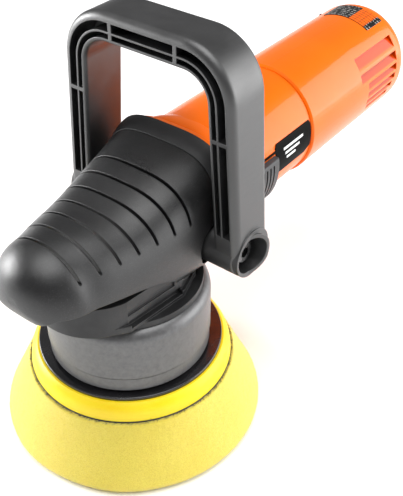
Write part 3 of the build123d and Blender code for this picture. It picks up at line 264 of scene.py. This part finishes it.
def shroud_material():
    """Satin silver-grey paint over cast metal, lightly mottled."""
    s = Shader("shroud")
    mottle = s.span(s.noise(300, 6, 0.75), 0.3, 0.7)
    fine = s.noise(2400, 3, 0.7)
    s.colour(s.blend(mottle, (0.115, 0.115, 0.117), (0.175, 0.175, 0.177)))
    s.roughness(s.span(s.math("ADD", mottle, fine), 0.5, 1.5, 0.30, 0.44))
    s.bumps((s.noise(700, 3), 0.00015, 0.12), (fine, 0.0001, 0.5), edge=0.0004)
    return s.set(Metallic=0.5).material


# The grip's vents lie below this radius from the motor's axis, between these two places along it.
# Each pair is where the painted shade starts to blend in, and where the blend ends.
VENT_RADIUS = (0.0376, 0.0381)
VENT_START = (0.200, 0.2015)
VENT_END = (0.2565, 0.2575)


def orange_material():
    """Semi-gloss orange plastic: orange peel, flow patches, rubbed streaks, painted shade in the vents."""
    s = Shader("orange")
    flow = s.span(s.noise(18, 4), 0.35, 0.7)
    peel = s.noise(700, 2, 0.5)
    rubbed = s.noise(80, 5, 0.7, s.stretched(10, 0.8, 10))
    across = s.axis(0)
    rise = s.math("ADD", s.axis(2), -MOTOR_HEIGHT)
    squares = s.math("ADD", s.math("MULTIPLY", across, across), s.math("MULTIPLY", rise, rise))
    radius = s.math("SQRT", squares, 0.0)
    # painted shade: a mask that covers the sunken vents, where the recess would lie in shade
    sunk_shade = s.math("MULTIPLY", s.span(radius, *VENT_RADIUS, 1.0, 0.0), s.span(s.axis(1), *VENT_START))
    vent_shade = s.math("MULTIPLY", sunk_shade, s.span(s.axis(1), *VENT_END, 1.0, 0.0))
    skin = s.blend(flow, (0.92, 0.140, 0.001), (0.96, 0.160, 0.002))
    # the vents are painted this deeper orange as shade
    s.colour(s.blend(vent_shade, skin, (0.62, 0.055, 0.0)))
    s.roughness(s.span(s.math("ADD", peel, rubbed), 0.6, 1.4, 0.28, 0.4))
    s.bumps((peel, 0.00004, 0.15), edge=0.0006)
    s.set(Coat_Weight=0.45, Coat_Roughness=0.06, Coat_IOR=1.35)
    return s.set(Specular_IOR_Level=0.12).material


def cushion_material():
    """Cast polyurethane: smooth, with cloudy tone and small pores that hold painted shade."""
    s = Shader("cushion")
    cloud = s.span(s.noise(60, 5, 0.6), 0.35, 0.7)
    pores = s.span(s.cells(900), 0.0, 0.16)
    tone = s.blend(cloud, (1.0, 0.70, 0.003), (1.0, 0.76, 0.012))
    # painted shade: each pore darkens towards its middle, where it sinks deepest
    s.colour(s.blend(pores, (0.86, 0.55, 0.0), tone))
    s.roughness(s.span(cloud, 0, 1, 0.38, 0.5))
    s.bumps((s.noise(240, 4), 0.0002, 0.2), (pores, 0.00008, 0.35))
    return s.set(Subsurface_Weight=0.1, Subsurface_Scale=0.003).material


def loop_material():
    """Black loop fabric: tufts with a fine pile on them."""
    s = Shader("loop")
    pile = s.noise(4200, 3, 0.8)
    tufts = s.cells(1400)
    s.colour(s.blend(s.math("MULTIPLY", pile, tufts), (0.006, 0.006, 0.006), (0.06, 0.058, 0.055)))
    s.roughness(s.span(pile, 0.2, 0.8, 0.8, 1.0))
    s.bumps((tufts, 0.0004, 0.6), (pile, 0.0002, 0.8))
    return s.set(Sheen_Weight=0.3).material


def board_material():
    """Green solder mask with lighter tracks."""
    s = Shader("board")
    tracks = s.span(s.cells(700, "DISTANCE_TO_EDGE"), 0.02, 0.06)
    s.colour(s.blend(tracks, (0.06, 0.35, 0.12), (0.012, 0.12, 0.05)))
    s.roughness(s.span(tracks, 0, 1, 0.3, 0.42))
    s.bumps((tracks, 0.00004, 0.6))
    return s.material


# The print on the top label. Rows run across the grip and columns along it.
ROWS_FROM = 0.2366
ROW_HALF_PITCH = 0.00155
ROW_RULE = 0.00022
BAR_EDGE = 0.00105
TABLE_LEFT, TABLE_RIGHT = 0.0040, 0.0160
COLUMN_HALF_PITCH = 0.0019
COLUMN_RULE = 0.00010


def label_material():
    """Printed film: an orange table ruled in black, between black strips with rows of short bars."""
    s = Shader("label")
    across, along_grip = s.axis(0), s.axis(1)
    rows = s.math("PINGPONG", s.math("ADD", along_grip, -ROWS_FROM), ROW_HALF_PITCH)
    columns = s.math("PINGPONG", s.math("ADD", across, -TABLE_LEFT), COLUMN_HALF_PITCH)
    row_rules = s.math("LESS_THAN", rows, ROW_RULE)
    ruled = s.math("MAXIMUM", row_rules, s.math("LESS_THAN", columns, COLUMN_RULE))
    past_left = s.math("GREATER_THAN", across, TABLE_LEFT)
    in_table = s.math("MULTIPLY", past_left, s.math("LESS_THAN", across, TABLE_RIGHT))
    breaks = s.math("GREATER_THAN", s.noise(900, 1, 0.5, s.stretched(1, 0.2, 1)), 0.5)
    bars = s.math("MULTIPLY", s.math("GREATER_THAN", rows, BAR_EDGE), breaks)
    ink = s.blend(s.math("MULTIPLY", bars, 0.55), (0.006, 0.006, 0.006), (0.75, 0.70, 0.66))
    table = s.blend(ruled, (0.90, 0.135, 0.001), (0.02, 0.008, 0.004))
    s.colour(s.blend(in_table, ink, table))
    s.roughness(s.span(s.noise(600, 3), 0.3, 0.7, 0.26, 0.36))
    s.bumps((s.noise(2500, 2), 0.00001, 0.3))
    return s.set(Specular_IOR_Level=0.4).material


finishes = {
    "foam": foam_material(),
    "loop": loop_material(),
    "cushion": cushion_material(),
    "plate": plastic(
        "plate", (0.008, 0.008, 0.009), (0.016, 0.015, 0.017), (0.2, 0.3), 1800, 0.00003,
        edge=0.0005, Specular_IOR_Level=0.8,
    ),
    "steel": metal("steel", (0.55, 0.55, 0.56), (0.38, 0.37, 0.36), (0.2, 0.34), (1, 1, 25)),
    "screw": metal("screw", (0.20, 0.20, 0.205), (0.28, 0.275, 0.27), (0.22, 0.34)),
    "bearing": metal("bearing", (0.66, 0.66, 0.67), (0.5, 0.5, 0.5), (0.12, 0.22), (1, 1, 30)),
    "eccentric": metal(
        "eccentric", (0.60, 0.60, 0.61), (0.44, 0.44, 0.45), (0.38, 0.52), grain=500, depth=0.0001,
    ),
    "weight": metal(
        "weight", (0.24, 0.23, 0.22), (0.16, 0.14, 0.12), (0.5, 0.68), grain=600, depth=0.00015,
    ),
    "gear": metal("gear", (0.42, 0.42, 0.43), (0.28, 0.28, 0.3), (0.24, 0.38), (20, 20, 1)),
    "cover": cover_material(),
    "case": plastic(
        "case", (0.025, 0.025, 0.026), (0.055, 0.055, 0.056), (0.28, 0.4), 1600, 0.00009,
        edge=0.0006, Metallic=0.5,
    ),
    "band": plastic(
        "band", (0.014, 0.014, 0.0145), (0.024, 0.024, 0.025), (0.40, 0.52), 2400, edge=0.0005,
    ),
    "shroud": shroud_material(),
    "orange": orange_material(),
    "baffle": plastic("baffle", (0.02, 0.02, 0.02), (0.045, 0.043, 0.04), (0.45, 0.6)),
    "lamination": laminated("lamination", 1, 0.0007, (0.30, 0.30, 0.31), (0.45, 0.45, 0.46)),
    "copper": laminated("copper", 0, 0.0009, (0.45, 0.15, 0.06), (0.68, 0.27, 0.12)),
    "commutator": metal(
        "commutator", (0.72, 0.33, 0.17), (0.42, 0.18, 0.09), (0.18, 0.3), (25, 1, 25),
    ),
    "fan": plastic("fan", (0.05, 0.05, 0.05), (0.09, 0.085, 0.08), (0.4, 0.55)),
    "brass": metal("brass", (0.70, 0.47, 0.18), (0.48, 0.31, 0.11), (0.25, 0.4)),
    "carbon": plastic(
        "carbon", (0.018, 0.018, 0.02), (0.05, 0.05, 0.052), (0.4, 0.6), 3000, 0.0001,
    ),
    "rubber": plastic(
        "rubber", (0.012, 0.012, 0.012), (0.03, 0.03, 0.029), (0.6, 0.75), 1500, 0.0001,
    ),
    "switch": plastic(
        "switch", (0.035, 0.035, 0.037), (0.06, 0.06, 0.064), (0.42, 0.55), 2200, edge=0.0003,
    ),
    "module": plastic("module", (0.03, 0.03, 0.031), (0.055, 0.054, 0.052), (0.42, 0.55)),
    "board": board_material(),
    "heatsink": metal("heatsink", (0.62, 0.62, 0.63), (0.48, 0.48, 0.5), (0.3, 0.42), (1, 22, 1)),
    "film": plastic(
        "film", (0.003, 0.003, 0.003), (0.006, 0.006, 0.006), (0.3, 0.4), 2800, 0.00001,
        Specular_IOR_Level=0.1, IOR=1.2,
    ),
    "bail": plastic(
        "bail", (0.008, 0.008, 0.0085), (0.018, 0.018, 0.019), (0.36, 0.5), 1900, 0.0001,
        edge=0.0006, Specular_IOR_Level=0.8, IOR=1.65,
    ),
}

for part in frame["record"]["subparts"]:
    mesh = nodes[part["node"]].data
    mesh.materials.clear()
    mesh.materials.append(finishes[part["material_slot"]])
nodes["top_label"].data.materials[0] = label_material()


# ---------------------------------------------------------------- new pieces
def new_object(name, points, faces, finish):
    mesh = bpy.data.meshes.new(name)
    mesh.from_pydata(points, [], faces)
    mesh.materials.append(finish)
    thing = bpy.data.objects.new(name, mesh)
    scene.collection.objects.link(thing)
    return thing


def smooth(thing):
    for polygon in thing.data.polygons:
        polygon.use_smooth = True


# ---------------------------------------------------------------- foam pad, replacing the CAD cone
OUTLINE_STEP = 0.0011
TURNS = 420
# how many swells there are to the metre, and how far they stand out
BROAD_SWELLS, BROAD_SWELL = 28, 0.0006
FINE_SWELLS, FINE_SWELL = 420, 0.00022
# the swells fade out over this height, so that the face that rests on the work stays flat
FADE_HEIGHT = 0.004

low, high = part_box("foam_pad")
pad_centre = (low + high) / 2
pad_radius = (high.x - low.x) / 2
pad_top = high.z
loop_low, loop_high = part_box("loop_disc")
loop_radius = (loop_high.x - loop_low.x) / 2


def along(points, step):
    """Points every step or so along a smooth curve through (radius, height) points."""
    line = []
    for i in range(len(points) - 1):
        before = points[max(i - 1, 0)]
        a, b = points[i], points[i + 1]
        after = points[min(i + 2, len(points) - 1)]
        pieces = max(1, round(math.dist(a, b) / step))
        for k in range(pieces):
            t = k / pieces
            line.append(tuple(
                0.5 * (2 * a[j] + (b[j] - before[j]) * t
                       + (2 * before[j] - 5 * a[j] + 4 * b[j] - after[j]) * t * t
                       + (3 * a[j] - before[j] - 3 * b[j] + after[j]) * t ** 3)
                for j in (0, 1)
            ))
    line.append(points[-1])
    return line


# from the flat face out, up the flared side, and over the lip round the loop disc
side = [
    (0.030, 0.0),
    (pad_radius - 0.0130, 0.0),
    (pad_radius - 0.0052, 0.0003),
    (pad_radius - 0.0017, 0.0017),
    (pad_radius - 0.0002, 0.0046),
    (pad_radius - 0.0022, 0.0095),
    (pad_radius - 0.0098, 0.0250),
    (loop_radius + 0.0018, pad_top - 0.0012),
    (loop_radius + 0.0008, pad_top + 0.0003),
    (loop_radius + 0.0001, pad_top + 0.0007),
    (loop_radius - 0.0012, pad_top + 0.0001),
    (loop_radius - 0.006, pad_top),
]
outline = along(side, OUTLINE_STEP)
points, faces = [], []
for radius, height in outline:
    for k in range(TURNS):
        angle = math.tau * k / TURNS
        place = Vector((radius * math.cos(angle), radius * math.sin(angle), height))
        broad = noise.noise(place * BROAD_SWELLS) * BROAD_SWELL
        fine = noise.noise(place * FINE_SWELLS) * FINE_SWELL
        grown = radius + (broad + fine) * min(1, height / FADE_HEIGHT)
        points.append((
            pad_centre.x + grown * math.cos(angle),
            pad_centre.y + grown * math.sin(angle),
            height,
        ))
for row in range(len(outline) - 1):
    for k in range(TURNS):
        a, b = row * TURNS + k, row * TURNS + (k + 1) % TURNS
        faces.append((a, b, b + TURNS, a + TURNS))
faces.append(tuple(reversed(range(TURNS))))
faces.append(tuple((len(outline) - 1) * TURNS + k for k in range(TURNS)))
foam = new_object("foam_pad_soft", points, faces, finishes["foam"])
smooth(foam)
foam.data.polygons[-1].use_smooth = foam.data.polygons[-2].use_smooth = False
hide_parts("foam_pad")
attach(foam, "pad_unit")

# ---------------------------------------------------------------- fringe of loop fabric round the seam
FIBRES = 2600
FIBRE_HALF = 0.00012
ROOT_DEPTH = 0.0003
ROOT_HEIGHT, ROOT_SPREAD = 0.0010, 0.0005
SHORTEST, REACH_SPREAD = 0.0006, 0.0018
LEAST_DROP, DROP_SPREAD = 0.0004, 0.0026
SIDE_SPREAD = 0.0024
# a fibre is a thin three-sided spike
TRIANGLE = ((1, 0), (-0.5, 0.87), (-0.5, -0.87))

points, faces = [], []
for k in range(FIBRES):
    jitter = [noise.cell(Vector((k * 0.37 + 0.11, 3.7 * j + 0.5, 1.3))) for j in range(5)]
    angle = math.tau * (k + jitter[0]) / FIBRES
    out = Vector((math.cos(angle), math.sin(angle), 0))
    along_edge = Vector((-out.y, out.x, 0))
    root_z = loop_low.z + ROOT_HEIGHT + ROOT_SPREAD * jitter[1]
    root = Vector((pad_centre.x, pad_centre.y, root_z)) + out * (loop_radius - ROOT_DEPTH)
    reach = SHORTEST + REACH_SPREAD * jitter[2] ** 2
    drop = -LEAST_DROP - DROP_SPREAD * jitter[4] ** 3
    sideways = along_edge * SIDE_SPREAD * (jitter[3] - 0.5)
    tip = root + out * reach + sideways + Vector((0, 0, drop))
    base = len(points)
    for across, rise in TRIANGLE:
        points.append(tuple(root + along_edge * FIBRE_HALF * across + Vector((0, 0, FIBRE_HALF * rise))))
    points.append(tuple(tip))
    faces += [
        (base, base + 1, base + 3),
        (base + 1, base + 2, base + 3),
        (base + 2, base, base + 3),
        (base + 2, base + 1, base),
    ]
fringe = new_object("loop_fringe", points, faces, finishes["loop"])
smooth(fringe)
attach(fringe, "pad_unit")

# ---------------------------------------------------------------- three plain bars on the side plate
BAR_LENGTHS = (0.022, 0.016, 0.010)
BAR_HALF_HEIGHT = 0.0008
BAR_PITCH = 0.0033
BAR_SHIFT = 0.0015
FIRST_BAR_Y, FIRST_BAR_Z = 0.1060, 0.1512
# the bars start just above the plate, and are this thick
BAR_CLEARANCE, BAR_THICKNESS = 0.00002, 0.00012
BAR_STEPS = 6

plate_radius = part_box("name_plate")[1].x
points, faces = [], []
for row, length in enumerate(BAR_LENGTHS):
    middle = FIRST_BAR_Z - BAR_PITCH * row
    start, end = middle - BAR_HALF_HEIGHT, middle + BAR_HALF_HEIGHT
    near = FIRST_BAR_Y + BAR_SHIFT * row
    base = len(points)
    for step in range(BAR_STEPS + 1):
        z = start + (end - start) * step / BAR_STEPS
        rise = z - MOTOR_HEIGHT
        for lift in (0.0, BAR_THICKNESS):
            radius = plate_radius + BAR_CLEARANCE + lift
            x = math.sqrt(radius ** 2 - rise ** 2)
            points += [(x, near, z), (x, near + length, z)]
    for step in range(BAR_STEPS):
        a = base + 4 * step
        faces += [
            (a + 2, a + 3, a + 7, a + 6),
            (a, a + 4, a + 5, a + 1),
            (a, a + 2, a + 6, a + 4),
            (a + 1, a + 5, a + 7, a + 3),
        ]
    top = base + 4 * BAR_STEPS
    faces += [(base, base + 1, base + 3, base + 2), (top, top + 2, top + 3, top + 1)]
ink = plastic("print", (0.78, 0.78, 0.78), (0.88, 0.88, 0.88), (0.35, 0.45), 1500, 0.00001)
marks = new_object("plate_marks", points, faces, ink)
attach(marks, "housing")


# ---------------------------------------------------------------- floor, backdrop and lights
def floor_material():
    """Pale matt floor with a faint change of tone."""
    s = Shader("floor")
    s.colour(s.blend(s.noise(6, 4), (0.93, 0.93, 0.93), (0.90, 0.90, 0.90)))
    s.roughness(s.span(s.noise(40, 4), 0.3, 0.7, 0.7, 0.85))
    s.bumps((s.noise(400, 3), 0.0001, 0.1))
    return s.material


FLOOR_HALF = 6.0
FLOOR_Z = -0.0005
corners = [
    (FLOOR_HALF * x, FLOOR_HALF * y, FLOOR_Z)
    for x, y in ((-1, -1), (1, -1), (1, 1), (-1, 1))
]
floor = new_object("floor", corners, [(0, 1, 2, 3)], floor_material())

FILL_STRENGTH = 0.26
BACKDROP_STRENGTH = 1.0
WHITE = (1, 1, 1, 1)

# a dim white room lights the object, and behind it the camera sees plain white
world = bpy.data.worlds.new("studio")
scene.world = world
world.use_nodes = True
tree = world.node_tree
fill = tree.nodes["Background"]
fill.inputs["Color"].default_value = WHITE
fill.inputs["Strength"].default_value = FILL_STRENGTH
backdrop = tree.nodes.new("ShaderNodeBackground")
backdrop.inputs["Color"].default_value = WHITE
backdrop.inputs["Strength"].default_value = BACKDROP_STRENGTH
path = tree.nodes.new("ShaderNodeLightPath")
either = tree.nodes.new("ShaderNodeMixShader")
tree.links.new(path.outputs["Is Camera Ray"], either.inputs["Fac"])
tree.links.new(fill.outputs[0], either.inputs[1])
tree.links.new(backdrop.outputs[0], either.inputs[2])
tree.links.new(either.outputs[0], tree.nodes["World Output"].inputs["Surface"])


def softbox(name, place, target, size, power):
    """A rectangular area light that points at the target."""
    light = bpy.data.lights.new(name, "AREA")
    light.shape = "RECTANGLE"
    light.size, light.size_y = size
    light.energy = power
    lamp = bpy.data.objects.new(name, light)
    scene.collection.objects.link(lamp)
    aim = Vector(target) - Vector(place)
    lamp.rotation_mode = "QUATERNION"
    lamp.rotation_quaternion = aim.to_track_quat("-Z", "Y")
    lamp.location = place


SKY_ENERGY = 2.6
SKY_ANGLE, SKY_LEAN_X, SKY_LEAN_Y = map(math.radians, (55, 4, 6))

softbox("right_box", place=(0.89, 0.85, 0.42), target=(0.0, 0.05, 0.13), size=(1.3, 0.84), power=16)
softbox("left_box", place=(-1.12, -0.42, 0.38), target=(0.0, -0.03, 0.13), size=(0.62, 0.46), power=19)
sky = bpy.data.objects.new("overhead", bpy.data.lights.new("overhead", "SUN"))
sky.data.energy = SKY_ENERGY
sky.data.angle = SKY_ANGLE
sky.rotation_euler = (SKY_LEAN_X, SKY_LEAN_Y, 0)
scene.collection.objects.link(sky)
